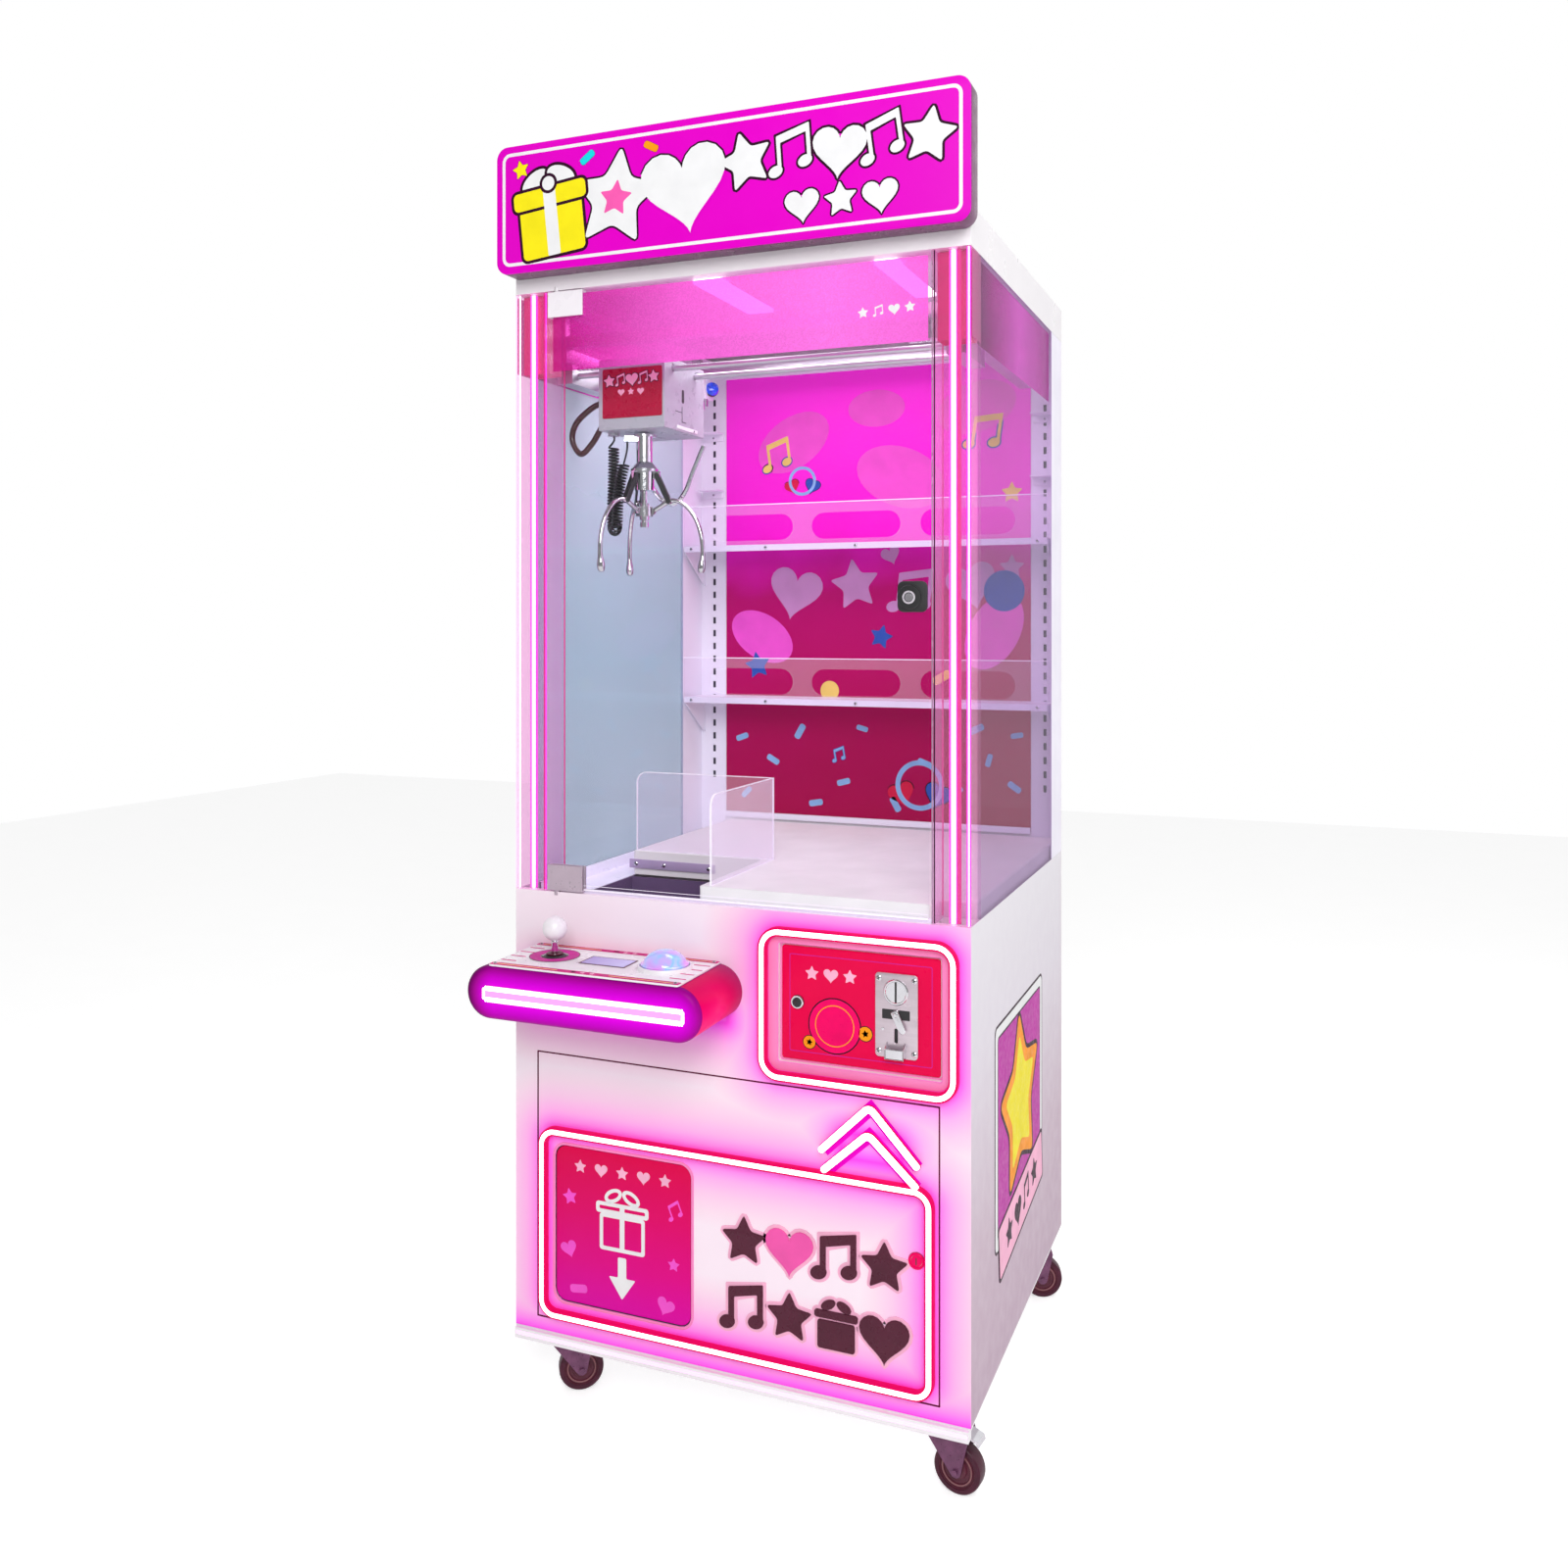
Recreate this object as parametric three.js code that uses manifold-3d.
// A crane prize machine: a lit cabinet with a prize deck, two shelves, a claw on a gantry,
// a console with a joystick and a button, a coin door, and a service door with a prize flap.
// Millimetres, +Z up. The origin is on the floor, under the middle of the machine's outline.
// X runs to the player's right, and the player stands at -Y.
import * as THREE from 'three';
import { mergeVertices } from 'three/addons/utils/BufferGeometryUtils.js';
import Module from 'manifold-3d';

const wasm = await Module();
wasm.setup();

// ---------------------------------------------------------------- driving dimensions
const CABINET_WIDTH = 760;
const CABINET_DEPTH = 700;
const CONSOLE_REACH = 150;
const SIGN_WIDTH = 780;
const HEIGHT = 2030;
const FLOOR_Z = 118;          // underside of the cabinet, on its casters
const LEDGE_Z = 833;          // top of the lower cabinet, where the glass begins
const CAP_Z = 1803;           // underside of the roof cap
const CAP_TOP = 1863;
const SIGN_Z = 1826;
const SHEET = 1.5;            // steel sheet
const GLASS = 5;
const GAP = 0.3;              // between pieces that touch
const POST = 58;              // clear corner posts, square
const DECK_Z = 858;           // top of the prize deck
const DECK_THICK = 43;
const TUBE = 14;              // neon tube

const HALF = CABINET_WIDTH / 2;
const FRONT = (CONSOLE_REACH - CABINET_DEPTH) / 2;
const BACK = FRONT + CABINET_DEPTH;
const BASE_TOP = FLOOR_Z + 3;
const INSIDE_TOP = CAP_Z - GAP;

// ---------------------------------------------------------------- solids
function toManifold(geometry) {
  const bare = geometry.clone();
  bare.deleteAttribute('normal');
  bare.deleteAttribute('uv');
  const merged = mergeVertices(bare, 1e-4);
  const index = merged.index.array;
  const kept = [];
  for (let i = 0; i < index.length; i += 3) {
    const [a, b, c] = [index[i], index[i + 1], index[i + 2]];
    if (a !== b && b !== c && c !== a) kept.push(a, b, c);
  }
  return new wasm.Manifold(new wasm.Mesh({
    numProp: 3,
    vertProperties: merged.attributes.position.array,
    triVerts: Uint32Array.from(kept),
  }));
}

function toGeometry(manifold) {
  const mesh = manifold.getMesh();
  const geometry = new THREE.BufferGeometry();
  geometry.setAttribute('position', new THREE.BufferAttribute(mesh.vertProperties, 3));
  geometry.setIndex(new THREE.BufferAttribute(mesh.triVerts, 1));
  geometry.computeVertexNormals();
  return geometry;
}

function join(first, ...others) {
  const add = (sum, shape) => sum.add(toManifold(shape));
  return toGeometry(others.reduce(add, toManifold(first)));
}

function cut(first, ...others) {
  const subtract = (rest, shape) => rest.subtract(toManifold(shape));
  return toGeometry(others.reduce(subtract, toManifold(first)));
}

// A block from its lowest to its highest X, Y and Z.
function block(x0, x1, y0, y1, z0, z1) {
  const geometry = new THREE.BoxGeometry(x1 - x0, y1 - y0, z1 - z0);
  return geometry.translate((x0 + x1) / 2, (y0 + y1) / 2, (z0 + z1) / 2);
}

const AXES = { x: new THREE.Vector3(1, 0, 0), y: new THREE.Vector3(0, 1, 0), z: new THREE.Vector3(0, 0, 1) };

// A round bar that starts at a point and runs along an axis.
function bar(axis, radius, [x, y, z], length, sides = 12) {
  const geometry = new THREE.CylinderGeometry(radius, radius, length, sides);
  if (axis === 'x') geometry.rotateZ(-Math.PI / 2);
  if (axis === 'z') geometry.rotateX(Math.PI / 2);
  const middle = new THREE.Vector3(x, y, z).addScaledVector(AXES[axis], length / 2);
  return geometry.translate(middle.x, middle.y, middle.z);
}

// A piece turned about a vertical axis, from [radius, height] pairs that go up the outside.
function turned(profile, x = 0, y = 0, sides = 20) {
  const points = profile.map(([radius, z]) => new THREE.Vector2(radius, z));
  return new THREE.LatheGeometry(points, sides).rotateX(Math.PI / 2).translate(x, y, 0);
}

// A rectangle with round corners, as a shape.
function rounded(u0, u1, v0, v1, radius) {
  const shape = new THREE.Shape();
  const quarter = Math.PI / 2;
  shape.absarc(u1 - radius, v0 + radius, radius, -quarter, 0);
  shape.absarc(u1 - radius, v1 - radius, radius, 0, quarter);
  shape.absarc(u0 + radius, v1 - radius, radius, quarter, 2 * quarter);
  shape.absarc(u0 + radius, v0 + radius, radius, 2 * quarter, 3 * quarter);
  shape.closePath();
  return shape;
}

// A bar with half-round ends, as a shape.
function stadium(u0, u1, v0, v1) {
  const shape = new THREE.Shape();
  const radius = (v1 - v0) / 2;
  shape.absarc(u1 - radius, v0 + radius, radius, -Math.PI / 2, Math.PI / 2);
  shape.absarc(u0 + radius, v0 + radius, radius, Math.PI / 2, 1.5 * Math.PI);
  shape.closePath();
  return shape;
}

function polygon(points) {
  return new THREE.Shape(points.map(([u, v]) => new THREE.Vector2(u, v)));
}

function rectangle(u0, u1, v0, v1) {
  return polygon([[u0, v0], [u1, v0], [u1, v1], [u0, v1]]);
}

function circle(u, v, radius, sides = 16) {
  return polygon(arc(u, v, radius, 0, 360 - 360 / sides, sides - 1));
}

function withHoles(shape, ...holes) {
  shape.holes.push(...holes);
  return shape;
}

function extruded(shape, depth, options = {}) {
  return new THREE.ExtrudeGeometry(shape, { depth, bevelEnabled: false, curveSegments: 2, ...options });
}

// A shape drawn in X and Z, thick from y0 to y1.
function upright(shape, y0, y1, options) {
  return extruded(shape, y1 - y0, options).rotateX(Math.PI / 2).translate(0, y1, 0);
}

// A shape drawn in X and Y, thick from z0 to z1.
function flat(shape, z0, z1, options) {
  return extruded(shape, z1 - z0, options).translate(0, 0, z0);
}

// A shape drawn in Y and Z, thick from x0 to x1.
function sideways(shape, x0, x1) {
  const turn = new THREE.Matrix4().makeBasis(AXES.y, AXES.z, AXES.x);
  return extruded(shape, x1 - x0).applyMatrix4(turn).translate(x0, 0, 0);
}

// A round tube along a curve through points.
function tube(points, radius, sides, steps) {
  const path = new THREE.CatmullRomCurve3(points.map((p) => new THREE.Vector3(...p)), false, 'centripetal');
  const section = new THREE.Shape();
  for (let i = 0; i < sides; i += 1) {
    const angle = (2 * Math.PI * i) / sides;
    const [u, v] = [radius * Math.cos(angle), radius * Math.sin(angle)];
    if (i === 0) section.moveTo(u, v);
    else section.lineTo(u, v);
  }
  return new THREE.ExtrudeGeometry(section, { steps, extrudePath: path, bevelEnabled: false });
}

// Points on an arc of a circle, for a turned profile.
function arc(cu, cv, radius, fromDeg, toDeg, steps) {
  return Array.from({ length: steps + 1 }, (_, i) => {
    const angle = THREE.MathUtils.degToRad(fromDeg + ((toDeg - fromDeg) * i) / steps);
    return [cu + radius * Math.cos(angle), cv + radius * Math.sin(angle)];
  });
}

// ---------------------------------------------------------------- finishes and the scene graph
const finish = (color, roughness, metalness = 0, opacity = 1) =>
  new THREE.MeshStandardMaterial({ color, roughness, metalness, opacity, transparent: opacity < 1 });

const FINISH = {
  whiteSteel: finish(0xf4eef2, 0.3),
  whitePlastic: finish(0xf2f0f2, 0.35),
  pad: finish(0xf7f2ef, 0.7),
  magenta: finish(0xe60ac8, 0.3),
  purple: finish(0xc800d8, 0.35),
  crimson: finish(0xe8005a, 0.3),
  neon: finish(0xfff0fa, 0.2),
  glass: finish(0xdfeaf2, 0.05, 0, 0.25),
  acrylic: finish(0xf6d8ee, 0.08, 0, 0.4),
  chrome: finish(0xd8d8dc, 0.15, 1),
  zinc: finish(0xa8a4a8, 0.35, 1),
  black: finish(0x141214, 0.5),
  brown: finish(0x4a2c2a, 0.6),
  maroon: finish(0x4a0a20, 0.45),
};

const machine = new THREE.Group();
machine.name = 'crane_prize_machine';

// A named piece, closed and with its doubled vertices merged.
function piece(name, geometry, material, parent = machine) {
  const mesh = new THREE.Mesh(toGeometry(toManifold(geometry)), material);
  mesh.name = name;
  parent.add(mesh);
  return mesh;
}

// ---------------------------------------------------------------- cabinet, lower half
const SWIVEL_X = 322;
const SWIVEL_FRONT = FRONT + 50;
const SWIVEL_BACK = FRONT + 650;
const PAD_Z = 112;            // underside of the caster plates

function baseFrame() {
  const plate = block(-HALF, HALF, FRONT, BACK, FLOOR_Z, BASE_TOP);
  const lightLip = block(-HALF + 2, HALF - 2, FRONT - 6, FRONT + 10, FLOOR_Z - 16, FLOOR_Z + 1);
  const plates = [];
  for (const x of [-SWIVEL_X, SWIVEL_X]) {
    for (const y of [SWIVEL_FRONT, SWIVEL_BACK]) {
      plates.push(block(x - 44, x + 44, y - 36, y + 36, PAD_Z, FLOOR_Z + 1));
    }
  }
  return join(plate, lightLip, ...plates);
}

// Openings in the front, as [x0, x1, z0, z1].
const SERVICE = [-338, 334, 143, 572];
const RECESS = [84, 338, 608, 786];
const COIN_DOOR = [88, 334, 612, 782];
const RECESS_DEPTH = 20;
const GLASS_HINGE_X = -304;
const GLASS_Y = FRONT + 2;    // front face of the glass door
const GLASS_HINGE_Y = GLASS_Y + GLASS / 2;
const HINGE_PIN = 5;
const GIMBAL_BORE = 3.3;
const PIN_HOLE = 5.5;

function frontPanel() {
  const [rx0, rx1, rz0, rz1] = RECESS;
  const outline = withHoles(rectangle(-HALF, HALF, BASE_TOP + GAP, LEDGE_Z - GAP),
    rectangle(...SERVICE), rounded(...RECESS, 4));
  const sheet = upright(outline, FRONT, FRONT + SHEET);
  const wall = withHoles(
    rounded(rx0 - SHEET, rx1 + SHEET, rz0 - SHEET, rz1 + SHEET, 6), rounded(...RECESS, 4));
  const recessWall = upright(wall, FRONT + 1, FRONT + RECESS_DEPTH);
  const stop = withHoles(rounded(rx0 - 1, rx1 + 1, rz0 - 1, rz1 + 1, 5),
    rectangle(rx0 + 6, rx1 - 6, rz0 + 6, rz1 - 6));
  const doorStop = upright(stop, FRONT + 10, FRONT + 12);
  const inside = HALF - SHEET - GAP;
  const ledge = block(-inside, inside, FRONT, FRONT + 14, LEDGE_Z - GAP - SHEET, LEDGE_Z - GAP);
  const hole = bar('z', PIN_HOLE, [GLASS_HINGE_X, GLASS_HINGE_Y, LEDGE_Z - 6], 12);
  return cut(join(sheet, recessWall, doorStop, ledge), hole);
}

function sidePanel(side) {
  const inner = side * (HALF - SHEET);
  const outer = side * HALF;
  return block(Math.min(inner, outer), Math.max(inner, outer), FRONT + SHEET + GAP, BACK - SHEET - GAP,
    BASE_TOP + GAP, LEDGE_Z - GAP);
}

const VENTS = { columns: [-150, 150], rows: 9, pitch: 18, width: 130, height: 6, z: 200 };
const INLET = { x: -300, z: 230, width: 28, height: 48 };

function backPanel() {
  const through = (x, z, width, height) =>
    block(x - width / 2, x + width / 2, BACK - SHEET - 2, BACK + 2, z - height / 2, z + height / 2);
  const openings = [through(INLET.x, INLET.z, INLET.width, INLET.height)];
  for (const x of VENTS.columns) {
    for (let row = 0; row < VENTS.rows; row += 1) {
      openings.push(through(x, VENTS.z + row * VENTS.pitch, VENTS.width, VENTS.height));
    }
  }
  return cut(block(-HALF, HALF, BACK - SHEET, BACK, BASE_TOP + GAP, INSIDE_TOP), ...openings);
}

// The chute hole takes the deck's front left corner: [x0, x1, y0, y1].
const CHUTE = [-308, -56, FRONT + 20, FRONT + 262];
const DECK_SIDE = HALF - GLASS - 1;
const DECK_BACK = BACK - 7;

function playfield() {
  const [railX, holeX, , holeY] = CHUTE;
  const front = FRONT + 15;
  const notch = POST + 2;
  const outline = polygon([
    [holeX, front], [HALF - notch, front], [HALF - notch, FRONT + notch], [DECK_SIDE, FRONT + notch],
    [DECK_SIDE, DECK_BACK], [railX, DECK_BACK], [railX, holeY + 3], [holeX, holeY + 3],
  ]);
  // The deck is a moulded tray, open below.
  const wall = 8;
  const [under, skin] = [DECK_Z - DECK_THICK - 1, DECK_Z - wall];
  return cut(flat(outline, DECK_Z - DECK_THICK, DECK_Z),
    block(railX + wall, DECK_SIDE - wall, holeY + 3 + wall, DECK_BACK - wall, under, skin),
    block(holeX + wall, HALF - notch - wall, front + wall, holeY + 20, under, skin));
}

const CHUTE_BOTTOM = 165;
const CHUTE_TOP = 812;

function prizeChute() {
  const [x0, x1, y0, y1] = CHUTE;
  const outside = block(x0 - SHEET, x1 + SHEET, y0 - SHEET, y1 + SHEET, CHUTE_BOTTOM, CHUTE_TOP);
  const slope = polygon([
    [y0 - 4, 172], [y1, 212], [y1, CHUTE_TOP + 4], [y0, CHUTE_TOP + 4], [y0, 576], [y0 - 4, 576],
  ]);
  const sillFront = FRONT + POST + 2;
  const sill = block(-DECK_SIDE, x0, sillFront, DECK_BACK, CHUTE_TOP - SHEET, CHUTE_TOP);
  const sillLip = block(-DECK_SIDE, -DECK_SIDE + 3, sillFront, DECK_BACK, CHUTE_TOP - SHEET, CHUTE_TOP + 21);
  return cut(join(outside, sill, sillLip), sideways(slope, x0, x1));
}

// ---------------------------------------------------------------- cabinet, upper half
function cornerPost(side) {
  const [x0, x1] = side > 0 ? [HALF - POST, HALF] : [-HALF, -HALF + POST];
  const wall = 4;
  return cut(block(x0, x1, FRONT, FRONT + POST, LEDGE_Z, INSIDE_TOP),
    block(x0 + wall, x1 - wall, FRONT + wall, FRONT + POST - wall, LEDGE_Z - 1, CAP_Z + 1));
}

const PILLAR_FRONT = BACK - 100;
const PILLAR_INNER = 323;
const SLOT_PITCH = 27;
const SLOT_COUNT = 30;
const PILLAR_BACK = BACK - SHEET - GAP;

function rearPillar(side) {
  const inner = PILLAR_BACK - SHEET;
  const outer = HALF - SHEET;
  const outline = polygon([
    [PILLAR_INNER, inner], [outer, inner], [outer, PILLAR_FRONT], [HALF, PILLAR_FRONT],
    [HALF, PILLAR_BACK], [PILLAR_INNER, PILLAR_BACK],
  ]);
  const slots = [];
  for (let i = 0; i < SLOT_COUNT; i += 1) {
    const z = LEDGE_Z + 110 + i * SLOT_PITCH;
    slots.push(block(346, 352, inner - 2, PILLAR_BACK + 2, z, z + 14));
  }
  const shape = cut(flat(outline, LEDGE_Z, INSIDE_TOP), ...slots);
  return side > 0 ? shape : mirrored(shape);
}

// The same piece on the other side of the machine.
function mirrored(geometry) {
  const copy = geometry.clone().scale(-1, 1, 1);
  const index = copy.index.array;
  for (let i = 0; i < index.length; i += 3) [index[i], index[i + 1]] = [index[i + 1], index[i]];
  copy.computeVertexNormals();
  return copy;
}

function sideGlass(side) {
  const [x0, x1] = side > 0 ? [HALF - GLASS, HALF] : [-HALF, -HALF + GLASS];
  return block(x0, x1, FRONT + POST + GAP, PILLAR_FRONT - GAP, LEDGE_Z, INSIDE_TOP);
}

const CAP_FLANGE = 60;

function roofCap() {
  const shell = block(-HALF, HALF, FRONT, BACK, CAP_Z, CAP_TOP);
  const hollow = block(-HALF + SHEET, HALF - SHEET, FRONT + SHEET, BACK - SHEET,
    CAP_Z + SHEET, CAP_TOP - SHEET);
  const opening = block(-HALF + CAP_FLANGE, HALF - CAP_FLANGE, FRONT + CAP_FLANGE, BACK - CAP_FLANGE,
    CAP_Z - 1, CAP_Z + SHEET + 1);
  const hole = bar('z', PIN_HOLE, [GLASS_HINGE_X, GLASS_HINGE_Y, CAP_Z - 4], 10);
  return cut(shell, hollow, opening, hole);
}

const SIGN_THICK = 40;

function signBox() {
  const half = SIGN_WIDTH / 2;
  const wall = 3;
  const back = FRONT - GAP;
  const face = FRONT - SIGN_THICK;
  const outside = upright(rounded(-half, half, SIGN_Z, HEIGHT, 20), face, back);
  const inside = upright(rounded(-half + wall, half - wall, SIGN_Z + wall, HEIGHT - wall, 17),
    face + wall, back - wall);
  const cableHole = bar('y', 12, [0, back - 10, SIGN_Z + 120], 20);
  return cut(outside, inside, cableHole);
}

// ---------------------------------------------------------------- shelves and clear guards
const SHELF_FRONT = FRONT + 600;
const SHELF_HALF = 372;
const SHELF_TOPS = { upper: 1425, lower: 1117 };
const LIP = 12;
const GUARD_HEIGHT = 93;
const GUARD_THICK = 3;

function shelf(top) {
  const back = PILLAR_BACK - SHEET - GAP;
  const board = block(-SHELF_HALF, SHELF_HALF, SHELF_FRONT, back, top - SHEET, top);
  const lip = block(-SHELF_HALF, SHELF_HALF, SHELF_FRONT, SHELF_FRONT + SHEET, top - LIP, top);
  const bracket = polygon([
    [SHELF_FRONT, top - 1], [SHELF_FRONT, top - LIP], [back, top - 80], [back, top - 1],
  ]);
  return join(board, lip, sideways(bracket, -SHELF_HALF, -SHELF_HALF + SHEET),
    sideways(bracket, SHELF_HALF - SHEET, SHELF_HALF));
}

function shelfGuard(top) {
  const bottom = top - LIP;
  const outline = rounded(-SHELF_HALF, SHELF_HALF, bottom, bottom + GUARD_HEIGHT, 6);
  for (const x of [-222, 0, 222]) {
    outline.holes.push(rounded(x - 92, x + 92, bottom + 20, bottom + 72, 25.9));
  }
  return upright(outline, SHELF_FRONT - GAP - GUARD_THICK, SHELF_FRONT - GAP);
}

const CHUTE_GUARD_TOP = 1000;
const CHUTE_GUARD_SIDE = -35;

// Two clear walls round the chute hole, standing on the deck.
function chuteGuard() {
  const holeY = CHUTE[3];
  const thick = 3;
  const bottom = DECK_Z + GAP;
  const [x0, x1] = [-DECK_SIDE + 72, CHUTE_GUARD_SIDE];
  const backWall = new THREE.Shape();
  backWall.moveTo(x0, bottom);
  backWall.lineTo(x1, bottom);
  backWall.lineTo(x1, CHUTE_GUARD_TOP);
  backWall.absarc(x0 + 20, CHUTE_GUARD_TOP - 20, 20, Math.PI / 2, Math.PI);
  const [y0, y1] = [FRONT + 17, holeY + 5 + thick];
  const sideWall = new THREE.Shape();
  sideWall.moveTo(y1, CHUTE_GUARD_TOP);
  sideWall.absarc(y0 + 20, CHUTE_GUARD_TOP - 20, 20, Math.PI / 2, Math.PI);
  sideWall.lineTo(y0, bottom);
  sideWall.lineTo(y1, bottom);
  return join(upright(backWall, y1 - thick, y1), sideways(sideWall, x1 - thick, x1));
}

// ---------------------------------------------------------------- glass door
const DOOR_GLASS = { x0: -316, x1: 317, z0: LEDGE_Z + 5, z1: CAP_Z - 5 };
const CLAMP = { x0: -319, x1: -255, height: 41, front: 3, back: 5 };
const GLASS_LOCK = { x: 290, z: 1303 };

function glassDoor() {
  const { x0, x1, z0, z1 } = DOOR_GLASS;
  const keyhole = circle(GLASS_LOCK.x, GLASS_LOCK.z, 10);
  return upright(withHoles(rounded(x0, x1, z0, z1, 3), keyhole), GLASS_Y, GLASS_Y + GLASS);
}

// A patch clamp at a corner of the glass, with the pin that the door turns on.
function glassClamp(isTop) {
  const z0 = isTop ? CAP_Z - 2 - CLAMP.height : LEDGE_Z + 2;
  const z1 = z0 + CLAMP.height;
  const [y0, y1] = [GLASS_Y - CLAMP.front - GAP, GLASS_Y + GLASS + CLAMP.back + GAP];
  const body = block(CLAMP.x0, CLAMP.x1, y0, y1, z0, z1);
  const slot = block(DOOR_GLASS.x0 - GAP, CLAMP.x1 + 1, GLASS_Y - GAP, GLASS_Y + GLASS + GAP,
    isTop ? z0 - 1 : DOOR_GLASS.z0 - GAP, isTop ? DOOR_GLASS.z1 + GAP : z1 + 1);
  const pinStart = isTop ? z1 - 1 : z0 - 8;
  return join(cut(body, slot), bar('z', HINGE_PIN, [GLASS_HINGE_X, GLASS_HINGE_Y, pinStart], 9));
}

// A lock plug turned by its key: a round barrel along Y with a cam at the back.
function lockPlug(radius, face, back, camLength) {
  const barrel = bar('y', radius, [0, face, 0], back - face);
  const keyway = block(-0.8, 0.8, face - 1, face + 3, -radius * 0.55, radius * 0.55);
  const cam = upright(rounded(-6, 6, -camLength, 5, 5), back - 1, back + 2);
  return join(cut(barrel, keyway), cam);
}

// ---------------------------------------------------------------- service door
const FLAP_OPENING = [-305, -61, 175, 427];
const FLAP = [-303, -63, 177, 425];
const FLAP_HINGE_Y = FRONT + 8;
const FLAP_HINGE_Z = 420;
const SERVICE_LOCK = { x: 300, z: 346 };
const SEAM = 1.2;
const KNUCKLES = [-250, -116];

function ring(outer, radius, width) {
  const [x0, x1, z0, z1] = outer;
  return withHoles(rounded(x0, x1, z0, z1, radius),
    rounded(x0 + width, x1 - width, z0 + width, z1 - width, radius - width));
}

function serviceDoor() {
  const [x0, x1, z0, z1] = SERVICE;
  const edges = [x0 + SEAM, x1 - SEAM, z0 + SEAM, z1 - SEAM];
  const keyhole = circle(SERVICE_LOCK.x, SERVICE_LOCK.z, 12.5);
  const sheet = upright(withHoles(rectangle(...edges), rounded(...FLAP_OPENING, 20), keyhole),
    FRONT, FRONT + SHEET);
  const [ex0, ex1, ez0, ez1] = edges;
  const flange = upright(withHoles(rectangle(...edges),
    rectangle(ex0 + SHEET, ex1 - SHEET, ez0 + SHEET, ez1 - SHEET)), FRONT + 1, FRONT + 15);
  const brackets = KNUCKLES.map((x) => join(
    block(x + 12.5, x + 16, FRONT + 1, FLAP_HINGE_Y + 5, FLAP_HINGE_Z + 9, FLAP_HINGE_Z + 18),
    block(x + 12.5, x + 16, FLAP_HINGE_Y - 2.4, FLAP_HINGE_Y + 5, FLAP_HINGE_Z - 3.4, FLAP_HINGE_Z + 10),
  ));
  return join(sheet, flange, ...brackets);
}

function prizeFlap() {
  const plate = upright(rounded(...FLAP, 18), FRONT + 0.5, FRONT + 3.5);
  const knuckles = KNUCKLES.map((x) => join(
    bar('x', 3, [x - 12, FLAP_HINGE_Y, FLAP_HINGE_Z], 24, 16),
    block(x - 12, x + 12, FRONT + 3, FLAP_HINGE_Y, FLAP_HINGE_Z - 2, FLAP_HINGE_Z + 2),
  ));
  return join(plate, ...knuckles);
}

function neonLoop(outer, radius) {
  return upright(ring(outer, radius, TUBE), FRONT - GAP - TUBE + 1, FRONT - GAP);
}

// ---------------------------------------------------------------- coin door
const COIN_FACE = FRONT + 6;
const COIN_LOCK = { x: 113, z: 698 };
const ACCEPTOR = [236, 301, 633, 756];
const SLOT_DISC = { x: 268, z: 729 };
const LEVER = { x: 268, z: 697 };
const RETURN_CUP = [254, 283, 634, 655];

function coinDoor() {
  const keyhole = circle(COIN_LOCK.x, COIN_LOCK.z, 8.8);
  const [x0, x1, z0, z1] = ACCEPTOR;
  return upright(withHoles(rounded(...COIN_DOOR, 3), rectangle(x0 + 4, x1 - 4, z0 + 4, z1 - 4), keyhole),
    COIN_FACE, COIN_FACE + 3);
}

function coinAcceptor() {
  const [x0, x1, z0, z1] = ACCEPTOR;
  const back = COIN_FACE - GAP;
  const plate = upright(rounded(x0, x1, z0, z1, 4), back - 3, back);
  const body = block(x0 + 5, x1 - 5, back - 1, FRONT + 85, z0 + 6, z1 - 6);
  const boss = upright(circle(SLOT_DISC.x, SLOT_DISC.z, 19, 24), back - 5, back - 2);
  const { x: slotX, z: slotZ } = SLOT_DISC;
  const slot = block(slotX - 1.6, slotX + 1.6, back - 6, back + 6, slotZ - 15, slotZ + 15);
  const pivotHole = bar('y', 4, [LEVER.x, back - 8, LEVER.z], 12);
  // The cup that returned coins drop into stands out from the plate and is open at its top.
  const [cx0, cx1, cz0, cz1] = RETURN_CUP;
  const cup = block(cx0, cx1, back - 15, back - 2, cz0, cz1);
  const well = block(cx0 + 2, cx1 - 2, back - 13, back + 4, cz0 + 2, cz1 + 3);
  return cut(join(plate, body, boss, cup), slot, pivotHole, well);
}

function coinReturnLever() {
  const face = COIN_FACE - GAP - 3 - GAP;
  const arm = upright(rounded(-6, 6, -31, 6, 4.5), face - 4, face);
  return join(arm, bar('y', 3.6, [0, face - 1, 0], 6, 16));
}

// ---------------------------------------------------------------- console
const CONSOLE = [-372, 25, 664, 745];
const PLATE = { x0: -333, x1: -10, z: 745.3, top: 748.3 };
const STICK = { x: -265, y: FRONT - 66, z: 728 };
const BUTTON = { x: -72, y: FRONT - 68 };
const CAP_RADIUS = 27;

function consoleBody() {
  const [x0, x1, z0, z1] = CONSOLE;
  const round = 10;
  const shell = upright(stadium(x0, x1, z0, z1), FRONT - CONSOLE_REACH + round, FRONT + round, {
    bevelEnabled: true, bevelThickness: round, bevelSize: round, bevelOffset: -round, bevelSegments: 2,
    curveSegments: 6,
  });
  const behind = block(x0 - 5, x1 + 5, FRONT - GAP, FRONT + 60, z0 - 5, z1 + 5);
  const inside = upright(stadium(x0 + 3, x1 - 3, z0 + 3, z1 - 3), FRONT - CONSOLE_REACH + 6, FRONT + 10,
    { curveSegments: 6 });
  const stickWell = block(STICK.x - 50, STICK.x + 50, STICK.y - 50, STICK.y + 50, z1 - 8, z1 + 5);
  const buttonWell = bar('z', 20, [BUTTON.x, BUTTON.y, z1 - 8], 14);
  return cut(shell, behind, inside, stickWell, buttonWell);
}

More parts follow.
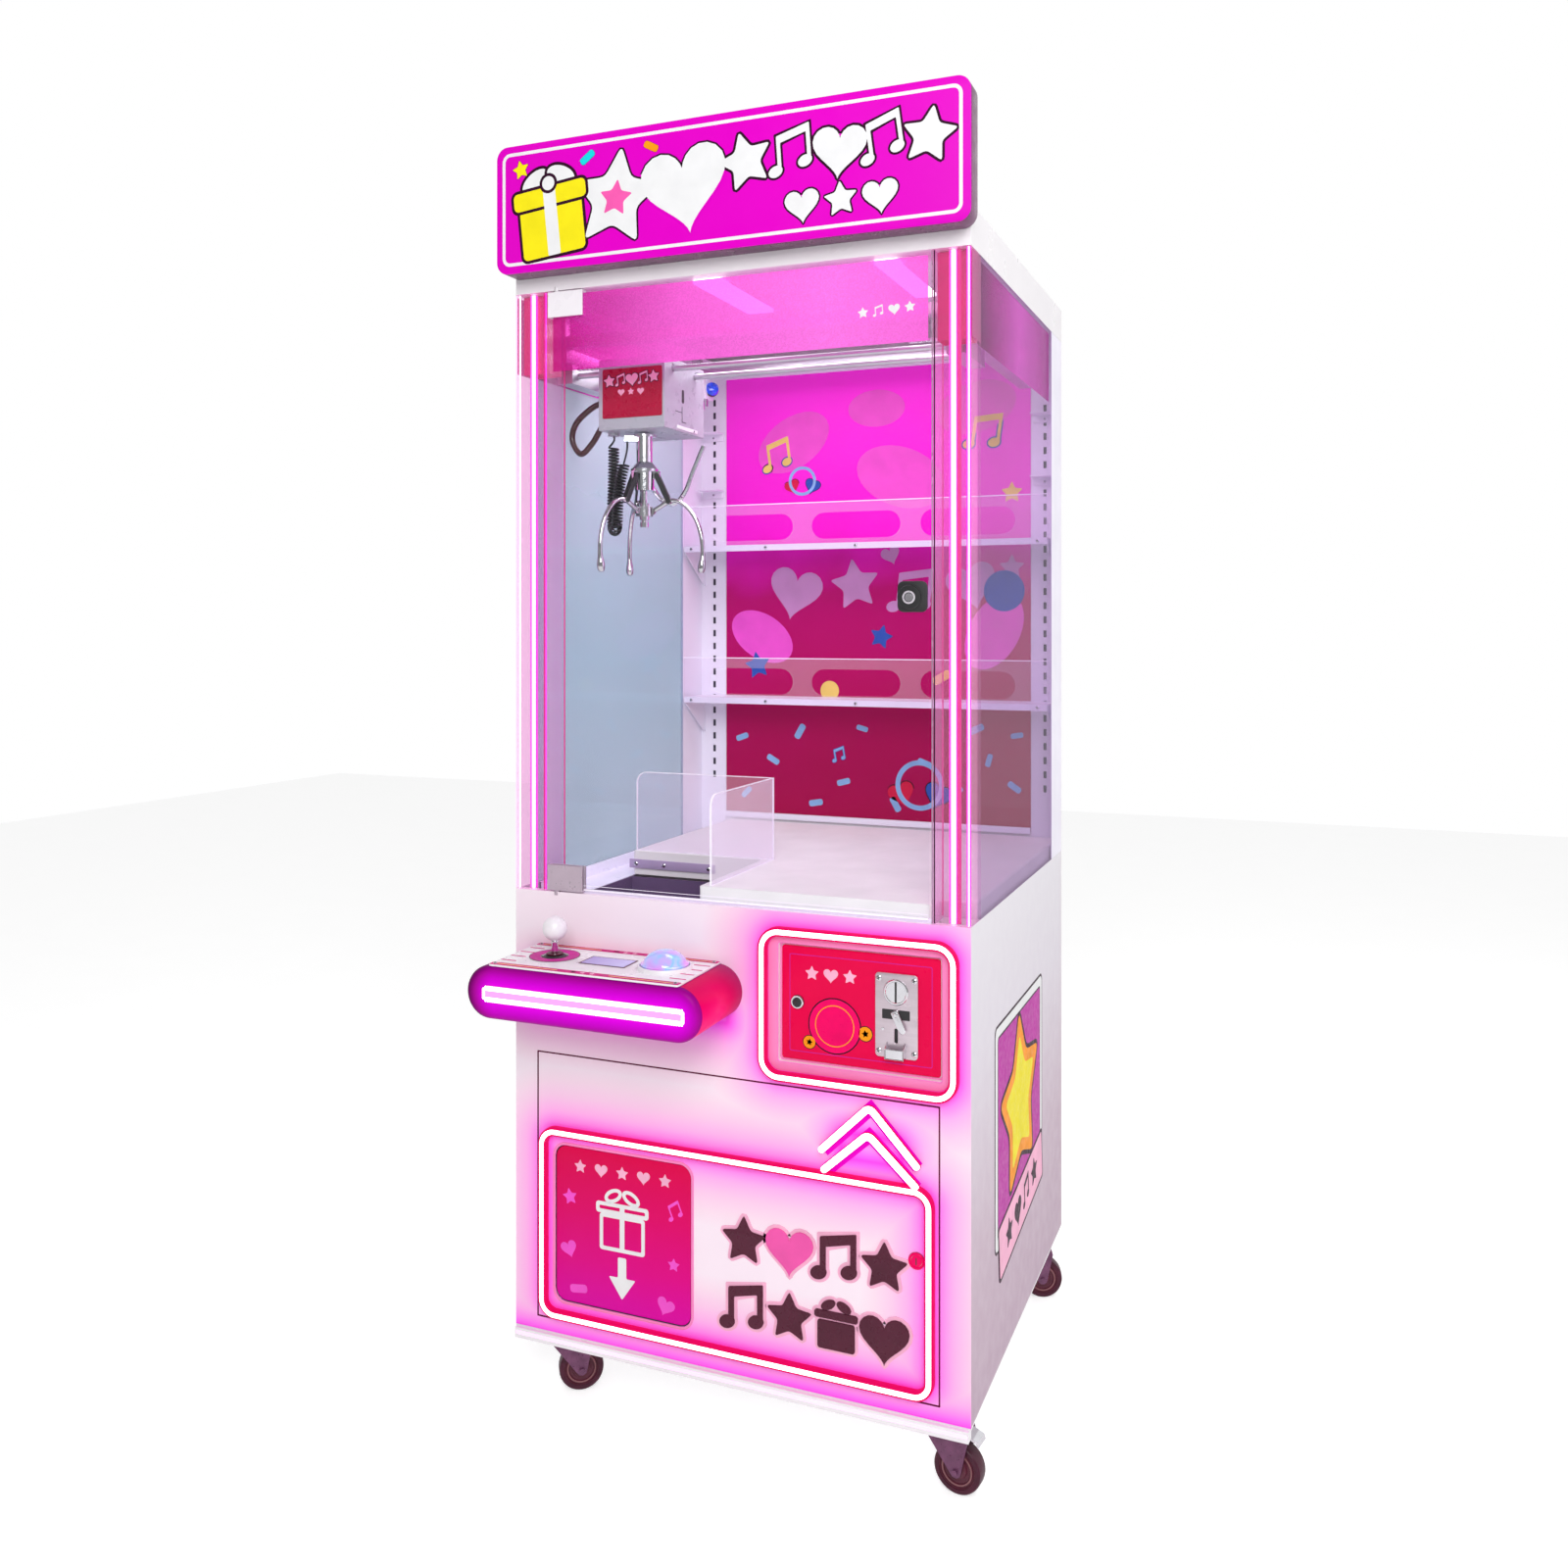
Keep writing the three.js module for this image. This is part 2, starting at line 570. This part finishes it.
function consolePlate() {
  const stickHole = circle(STICK.x, STICK.y, 21.6, 20);
  const buttonHole = circle(BUTTON.x, BUTTON.y, 13);
  const outline = withHoles(rounded(PLATE.x0, PLATE.x1, FRONT - 147, FRONT - 1, 4), stickHole, buttonHole);
  const sheet = flat(outline, PLATE.z, PLATE.top);
  const [u, v] = [-168, FRONT - 69];
  const screen = block(u - 38, u + 38, v - 21, v + 21, PLATE.top - 1.5, PLATE.top + 2);
  const collar = turned([[38, PLATE.top - 1], [42, PLATE.top - 1], [41, PLATE.top + 6], [38, PLATE.top + 6],
    [38, PLATE.top - 1]], BUTTON.x, BUTTON.y);
  const lugs = [-1, 1].map((side) => {
    const near = STICK.x + side * 40;
    const far = STICK.x + side * 44;
    const lug = block(Math.min(near, far), Math.max(near, far), STICK.y - 6, STICK.y + 6, 720, PLATE.z + 1);
    return cut(lug, bar('x', GIMBAL_BORE, [Math.min(near, far) - 2, STICK.y, STICK.z], 8, 16));
  });
  return join(cut(sheet, screen), collar, ...lugs);
}

// The ring that lets the stick lean two ways: its own pins lie along X, the stick's along Y.
function joystickGimbal() {
  const body = turned([[33, 724], [38, 724], [38, 732], [33, 732], [33, 724]]);
  const pins = [bar('x', 3, [-43, 0, STICK.z], 6, 16), bar('x', 3, [37, 0, STICK.z], 6, 16)];
  const holes = [bar('y', 3.4, [0, -40, STICK.z], 80, 16)];
  return cut(join(body, ...pins), ...holes);
}

function joystick() {
  const base = STICK.z - 6;
  const profile = [
    [0, 704], [5, 704], [5, base],
    ...arc(0, STICK.z, CAP_RADIUS, -13, 79, 5),
    [5, 772], ...arc(0, 791, 19, -74, 90, 7),
  ];
  profile[profile.length - 1][0] = 0;
  return join(turned(profile, 0, 0, 16), bar('y', 3, [0, -36, STICK.z], 72, 16));
}

function pushButton() {
  const base = PLATE.top + 5;
  const profile = [[0, 716], [12, 716], [12, base], [36.5, base], [36.5, base + 3],
    ...arc(0, base + 3 - 16, 39.8, 23.8, 90, 5)];
  profile[profile.length - 1][0] = 0;
  return turned(profile, BUTTON.x, BUTTON.y, 20);
}

// ---------------------------------------------------------------- gantry, crane and claw
const CLAW = { x: -205, y: FRONT + 115 };
const RAIL_Z = 1700;
const RAIL = { inner: 322, outer: 346, y0: FRONT + 62, y1: FRONT + 592 };
const BAR_Z = 1684;
const CRANE = { x0: -266, x1: -144, y0: FRONT + 70, y1: FRONT + 217, z0: 1584, z1: 1700 };
const BARS_Y = [CRANE.y0 + 33, CRANE.y1 - 33];
const GLAND = { x: -254, y: FRONT + 100, z: 1578 };
const CABLE_CLIP_X = -300;

function gantryFrame() {
  const parts = [];
  for (const side of [-1, 1]) {
    const [x0, x1] = side > 0 ? [RAIL.inner, RAIL.outer] : [-RAIL.outer, -RAIL.inner];
    parts.push(block(x0, x1, RAIL.y0, RAIL.y1, RAIL_Z + GAP, RAIL_Z + 24));
    for (const y of [RAIL.y0, RAIL.y1 - 18]) {
      parts.push(block(x0 + 4, x1 - 4, y, y + 18, RAIL_Z + 40, INSIDE_TOP));
    }
  }
  const beams = [RAIL.y0, RAIL.y1 - 18].map((y) =>
    block(-RAIL.outer, RAIL.outer, y, y + 18, RAIL_Z + 23, RAIL_Z + 42));
  return join(...parts, ...beams);
}

function bridge() {
  const bars = BARS_Y.map((y) => bar('x', 5, [-RAIL.inner - 4, y, BAR_Z], 2 * RAIL.inner + 8));
  const carriages = [-1, 1].map((side) => {
    const at = (u) => side * u;
    const span = (u, v) => [Math.min(at(u), at(v)), Math.max(at(u), at(v))];
    const [y0, y1] = [CRANE.y0 + 10, CRANE.y1 - 10];
    return join(block(...span(RAIL.inner, 350), y0, y1, 1668, RAIL_Z),
      block(...span(RAIL.outer + GAP, 350), y0, y1, RAIL_Z - 1, RAIL_Z + 16));
  });
  const clip = block(CABLE_CLIP_X - 7, CABLE_CLIP_X + 7, BARS_Y[1] - 7, BARS_Y[1] + 7, BAR_Z - 14, BAR_Z);
  return join(...bars, ...carriages, clip);
}

function craneBox() {
  const { x0, x1, y0, y1, z0, z1 } = CRANE;
  const wall = 2.5;
  const shell = cut(block(x0, x1, y0, y1, z0, z1),
    block(x0 + wall, x1 - wall, y0 + wall, y1 - wall, z0 + wall, z1 + 1),
    ...BARS_Y.map((y) => bar('x', 6, [x0 - 2, y, BAR_Z], x1 - x0 + 4)));
  const spool = bar('x', 12, [x0 + 1, CLAW.y + 14, 1650], x1 - x0 - 2, 16);
  const gland = bar('z', 10, [GLAND.x, GLAND.y, GLAND.z], 8, 16);
  const ropeHole = bar('z', 7, [CLAW.x, CLAW.y, z0 - 2], 8);
  const cableGland = bar('x', 7, [x0 - 4, CRANE.y0 + 80, 1625], 5, 16);
  return cut(join(shell, spool, gland, cableGland), ropeHole);
}

// The claw's own frame: its axis is Z, and heights are the machine's own.
const FINGER_ANGLES = [253, 13, 133];
const PIVOT_A = [22, 1512];   // link on the hub
const PIVOT_B = [14, 1452];   // finger on the plunger
const ELBOW = [42, 1469];     // link on the finger
const BLADE = 2.5;            // half thickness of a finger's blade

// A bent tube that stands off the hub and keeps the claw from turning under its rope.
const GUARD_BOW = [
  [-0.5, 13, 1500], [1, 24, 1496], [8, 36, 1480], [21, 42, 1468], [37, 44, 1469], [53, 45, 1486],
  [67, 45, 1518], [88, 45, 1563],
];

function aroundClaw(geometry, degrees) {
  return geometry.clone().rotateZ(THREE.MathUtils.degToRad(degrees));
}

// A flat bar with round ends between two pivots, drawn in the radial plane.
function linkBar([r0, z0], [r1, z1], radius, y0, y1) {
  const angle = Math.atan2(z1 - z0, r1 - r0);
  const shape = new THREE.Shape();
  shape.absarc(r0, z0, radius, angle + Math.PI / 2, angle + 1.5 * Math.PI);
  shape.absarc(r1, z1, radius, angle - Math.PI / 2, angle + Math.PI / 2);
  shape.closePath();
  return upright(shape, y0, y1, { curveSegments: 3 });
}

function clawHub() {
  const body = turned([
    [0, 1426], [7, 1426], [7, 1435], [4.5, 1435], [4.5, 1487], [16.5, 1487], [16.5, 1518],
    [23.5, 1518], [23.5, 1522], [13.5, 1534], [13.5, 1576], [19, 1576], [19, 1580],
    [4, 1580], [4, 1600], [1.5, 1602], [1.5, 1636], [0, 1636],
  ]);
  const lug = block(12, 27, -BLADE, BLADE, 1506, 1519);
  const pinHole = bar('y', 2, [PIVOT_A[0], -6, PIVOT_A[1]], 12, 12);
  const lugs = FINGER_ANGLES.map((angle) => aroundClaw(cut(lug, pinHole), angle));
  const cordAngle = 209;
  const cordLug = aroundClaw(block(10, 33, -9, 9, 1568, 1577), cordAngle);
  return join(body, ...lugs, cordLug, tube(GUARD_BOW, 4, 8, 14));
}

function clawPlunger() {
  const sleeve = turned([[5, 1438], [8, 1438], [8, 1444], [14.5, 1444], [14.5, 1460], [8, 1460], [8, 1466],
    [5, 1466], [5, 1438]]);
  const slot = block(8.3, 18, -BLADE - 0.8, BLADE + 0.8, 1443, 1461);
  return cut(sleeve, ...FINGER_ANGLES.map((angle) => aroundClaw(slot, angle)));
}

function clawFinger() {
  const lever = linkBar(PIVOT_B, ELBOW, 4.6, -BLADE, BLADE);
  const curve = new THREE.CubicBezierCurve(new THREE.Vector2(...ELBOW), new THREE.Vector2(70, 1478),
    new THREE.Vector2(108, 1432), new THREE.Vector2(98, 1362));
  // A strip of the leg from u to v along the curve, its thickness set square to the curve.
  const strip = (u, v, thick, halfWidth) => {
    const steps = 6;
    const [outer, inner] = [[], []];
    for (let i = 0; i <= steps; i += 1) {
      const t = u + ((v - u) * i) / steps;
      const p = curve.getPoint(t);
      const d = curve.getTangent(t);
      outer.push([p.x + (d.y * -thick) / 2, p.y + (d.x * thick) / 2]);
      inner.unshift([p.x + (d.y * thick) / 2, p.y - (d.x * thick) / 2]);
    }
    return upright(polygon([...outer, ...inner]), -halfWidth, halfWidth);
  };
  const leg = join(strip(0, 1, 5, BLADE), strip(0.3, 1, 4, 6), strip(0.86, 1, 3, 12));
  const openPivot = bar('y', 2.6, [ELBOW[0], -6, ELBOW[1]], 12, 16);
  return cut(join(lever, leg), openPivot);
}

function clawLink() {
  const [near, far] = [BLADE + 0.5, BLADE + 3];
  return join(
    linkBar(PIVOT_A, ELBOW, 4.4, near, far), linkBar(PIVOT_A, ELBOW, 4.4, -far, -near),
    bar('y', 1.6, [PIVOT_A[0], -far + 0.5, PIVOT_A[1]], 2 * far - 1, 12),
    bar('y', 1.6, [ELBOW[0], -far + 0.5, ELBOW[1]], 2 * far - 1, 12),
  );
}

const CURL_RADIUS = 9.8;
const CABLE_RADIUS = 5.2;

// The curly cord's outer shape: down beside the claw, round, and back up to its hub.
function curlyCord() {
  const { x, y, z } = GLAND;
  const [across, radius] = [[0.735, -0.678], 12];
  const bend = arc(0, 1433, radius, 180, 360, 6).map(([u, w]) =>
    [-254 + u * across[0], -172 + u * across[1], w]);
  const points = [
    [x, y, z - GAP], [x, y, z - 8], [-257, -170, 1550], [-260, -166, 1507], [-262.5, -164.5, 1468], ...bend,
    [-243, -181, 1468], [-238, -182, 1500], [-231.5, -180.5, 1530], [-228.5, -176, 1552],
    [-229, -174.5, 1560], [-229, -174.5, 1567.5],
  ];
  return tube(points, CURL_RADIUS, 8, 34);
}

// The crane's supply cable: a loop from the bridge's clip to the crane's side.
function craneCable() {
  const y = FRONT + 148;
  const points = [
    [CABLE_CLIP_X, BARS_Y[1], BAR_Z - 14 - GAP], [CABLE_CLIP_X, BARS_Y[1], 1661],
    [-306, y + 22, 1652], [-328, y + 8, 1639], [-355, y, 1613],
    [-363, y, 1584], [-346, y, 1559], [-323, y, 1577], [-303, y + 1, 1606],
    [CRANE.x0 - 14, CRANE.y0 + 80, 1625], [CRANE.x0 - 4 - GAP, CRANE.y0 + 80, 1625],
  ];
  return tube(points, CABLE_RADIUS, 8, 26);
}

// ---------------------------------------------------------------- casters
const WHEEL_RADIUS = 36.5;
const TRAIL = 30;
const PEDAL = { x: 41, z: 88 };

// A caster's own frame has its swivel axis at the origin, and the wheel trails along +X.
function casterFork() {
  const head = bar('z', 24, [0, 0, 97], PAD_Z - GAP - 97);
  const crown = block(-24, 30, -18, 18, 94, 99);
  const leg = new THREE.Shape();
  leg.moveTo(-24, 99);
  leg.lineTo(-24, 92);
  leg.absarc(TRAIL, WHEEL_RADIUS, 9, 1.12 * Math.PI, 2.02 * Math.PI);
  leg.lineTo(49, 84);
  leg.lineTo(46, 94);
  leg.lineTo(34, 99);
  const bolt = bar('y', 4.4, [TRAIL, -22, WHEEL_RADIUS], 44, 12);
  return join(head, crown, upright(leg, 15, 18), upright(leg, -18, -15), bolt);
}

function casterWheel() {
  const half = 12;
  const r = WHEEL_RADIUS;
  const profile = [
    [5, -half], [r - 4, -half], [r, -half + 5], [r, half - 5], [r - 4, half], [5, half], [5, -half],
  ];
  return turned(profile, 0, 0, 24).rotateX(Math.PI / 2).translate(TRAIL, 0, r);
}

function brakePedal() {
  const outline = polygon([
    [-5, 3], [4, 4.5], [22, -2], [24, -9], [22, -9.5], [19.5, -4.2], [4, 1.2], [-5, 0],
  ]);
  return join(upright(outline, -14, 14), bar('y', 2.6, [0, -14.4, 0], 28.8, 12));
}

const CASTERS = [
  { name: 'front_left', x: -SWIVEL_X, y: SWIVEL_FRONT, heading: 35 },
  { name: 'front_right', x: SWIVEL_X, y: SWIVEL_FRONT, heading: -8 },
  { name: 'rear_left', x: -SWIVEL_X, y: SWIVEL_BACK, heading: 150 },
  { name: 'rear_right', x: SWIVEL_X, y: SWIVEL_BACK, heading: 16 },
];

// ---------------------------------------------------------------- assembly
piece('base_frame', baseFrame(), FINISH.whiteSteel);
piece('front_panel', frontPanel(), FINISH.whiteSteel);
piece('side_panel_left', sidePanel(-1), FINISH.whiteSteel);
piece('side_panel_right', sidePanel(1), FINISH.whiteSteel);
piece('back_panel', backPanel(), FINISH.whiteSteel);
piece('playfield', playfield(), FINISH.pad);
piece('prize_chute', prizeChute(), FINISH.whiteSteel);
piece('corner_post_left', cornerPost(-1), FINISH.acrylic);
piece('corner_post_right', cornerPost(1), FINISH.acrylic);
piece('rear_pillar_left', rearPillar(-1), FINISH.whiteSteel);
piece('rear_pillar_right', rearPillar(1), FINISH.whiteSteel);
piece('side_glass_left', sideGlass(-1), FINISH.glass);
piece('side_glass_right', sideGlass(1), FINISH.glass);
piece('roof_cap', roofCap(), FINISH.whiteSteel);
piece('sign_box', signBox(), FINISH.magenta);
piece('shelf_upper', shelf(SHELF_TOPS.upper), FINISH.whiteSteel);
piece('shelf_lower', shelf(SHELF_TOPS.lower), FINISH.whiteSteel);
piece('shelf_guard_upper', shelfGuard(SHELF_TOPS.upper), FINISH.acrylic);
piece('shelf_guard_lower', shelfGuard(SHELF_TOPS.lower), FINISH.acrylic);
piece('chute_guard', chuteGuard(), FINISH.acrylic);

piece('glass_door', glassDoor(), FINISH.glass);
piece('glass_clamp_top', glassClamp(true), FINISH.whitePlastic);
piece('glass_clamp_bottom', glassClamp(false), FINISH.zinc);
const glassLock = piece('glass_lock_plug', lockPlug(9, GLASS_Y - 9, GLASS_Y + 8, 18), FINISH.black);
glassLock.position.set(GLASS_LOCK.x, 0, GLASS_LOCK.z);

piece('service_door', serviceDoor(), FINISH.whiteSteel);
piece('service_neon_loop', neonLoop([-331, 328, 148, 456], 30), FINISH.neon);
piece('prize_flap', prizeFlap(), FINISH.crimson);
const serviceLock = piece('service_lock_plug', lockPlug(12, FRONT - 3, FRONT + 18, 42), FINISH.chrome);
serviceLock.position.set(SERVICE_LOCK.x, 0, SERVICE_LOCK.z);

piece('coin_neon_loop', neonLoop([54, 364, 580, 811], 34), FINISH.neon);
piece('coin_door', coinDoor(), FINISH.crimson);
piece('coin_acceptor', coinAcceptor(), FINISH.chrome);
const lever = piece('coin_return_lever', coinReturnLever(), FINISH.chrome);
lever.position.set(LEVER.x, 0, LEVER.z);
lever.rotation.y = THREE.MathUtils.degToRad(-25);
const coinLock = piece('coin_lock_plug', lockPlug(8.3, COIN_FACE - 3, COIN_FACE + 9, 23), FINISH.chrome);
coinLock.position.set(COIN_LOCK.x, 0, COIN_LOCK.z);

piece('console_body', consoleBody(), FINISH.purple);
piece('console_plate', consolePlate(), FINISH.whitePlastic);
for (const [name, geometry, material] of [
  ['joystick_gimbal', joystickGimbal(), FINISH.black],
  ['joystick', joystick(), FINISH.whitePlastic],
]) {
  piece(name, geometry, material).position.set(STICK.x, STICK.y, 0);
}
piece('push_button', pushButton(), FINISH.glass);

piece('gantry_frame', gantryFrame(), FINISH.zinc);
piece('bridge', bridge(), FINISH.chrome);
piece('crane_box', craneBox(), FINISH.whitePlastic);
piece('crane_cable', craneCable(), FINISH.brown);
piece('curly_cord', curlyCord(), FINISH.black);

const claw = new THREE.Group();
claw.position.set(CLAW.x, CLAW.y, 0);
machine.add(claw);
piece('claw_hub', clawHub(), FINISH.chrome, claw);
piece('claw_plunger', clawPlunger(), FINISH.chrome, claw);
FINGER_ANGLES.forEach((angle, i) => {
  const turn = THREE.MathUtils.degToRad(angle);
  piece(`claw_finger_${i + 1}`, clawFinger(), FINISH.chrome, claw).rotation.z = turn;
  piece(`claw_link_${i + 1}`, clawLink(), FINISH.black, claw).rotation.z = turn;
});

for (const { name, x, y, heading } of CASTERS) {
  const caster = new THREE.Group();
  caster.position.set(x, y, 0);
  caster.rotation.z = THREE.MathUtils.degToRad(heading);
  machine.add(caster);
  piece(`caster_fork_${name}`, casterFork(), FINISH.zinc, caster);
  piece(`caster_wheel_${name}`, casterWheel(), FINISH.maroon, caster);
  if (name === 'front_right') {
    piece('brake_pedal', brakePedal(), FINISH.chrome, caster).position.set(PEDAL.x, 0, PEDAL.z);
  }
}

export default machine;
